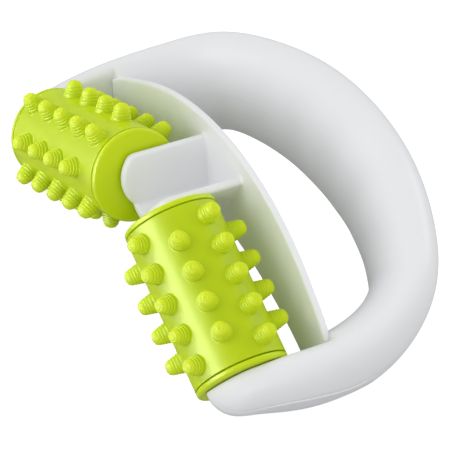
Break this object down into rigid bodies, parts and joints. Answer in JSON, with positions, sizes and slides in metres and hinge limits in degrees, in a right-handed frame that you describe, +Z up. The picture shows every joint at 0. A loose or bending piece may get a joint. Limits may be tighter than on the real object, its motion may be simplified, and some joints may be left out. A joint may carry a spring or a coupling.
{
  "type": "hand-held massage roller",
  "caption": "Hand-held massage roller: closed D-shaped grip ring with a cross bridge and yoke carrying angled free-turning rollers with stepped soft nubs.",
  "frame": {"origin": "the centre of the grip section at the middle of the back of the ring, where the hand closes", "axes": "+X across the rollers to the right roller, +Y from the rollers back to the grip, +Z up out of the arched bridge"},
  "size_m": [0.163, 0.1134, 0.0616],
  "materials": {
    "white_plastic": "satin white injection-moulded plastic",
    "lime_rubber": "soft satin lime elastomer",
    "lime_plastic": "satin lime plastic",
    "core_plastic": "natural white plastic",
    "bush_plastic": "self-lubricating natural white plastic",
    "steel": "bright drawn steel"
  },
  "bodies": {
    "frame": {"handle_upper_shell": "white_plastic", "handle_lower_shell": "white_plastic", "bridge_yoke": "white_plastic", "shell_screws": "steel", "screw_plugs": "white_plastic", "right_axle": "steel", "left_axle": "steel", "right_thrust_washers": "bush_plastic", "left_thrust_washers": "bush_plastic"},
    "right_roller": {"right_roller_sleeve": "lime_rubber", "right_roller_core": "core_plastic", "right_inner_end_cap": "lime_plastic", "right_outer_end_cap": "lime_plastic", "right_inner_bush": "bush_plastic", "right_outer_bush": "bush_plastic"},
    "left_roller": {"left_roller_sleeve": "lime_rubber", "left_roller_core": "core_plastic", "left_inner_end_cap": "lime_plastic", "left_outer_end_cap": "lime_plastic", "left_inner_bush": "bush_plastic", "left_outer_bush": "bush_plastic"}
  },
  "joints": [
    {"name": "right_roller_spin", "type": "hinge", "parent": "frame", "child": "right_roller", "pos_m": [0.0108, -0.0796, 0.0054], "axis": [0.9114, 0, -0.4115], "continuous": true},
    {"name": "left_roller_spin", "type": "hinge", "parent": "frame", "child": "left_roller", "pos_m": [-0.0108, -0.0796, 0.0054], "axis": [-0.9114, 0, -0.4115], "continuous": true}
  ]
}
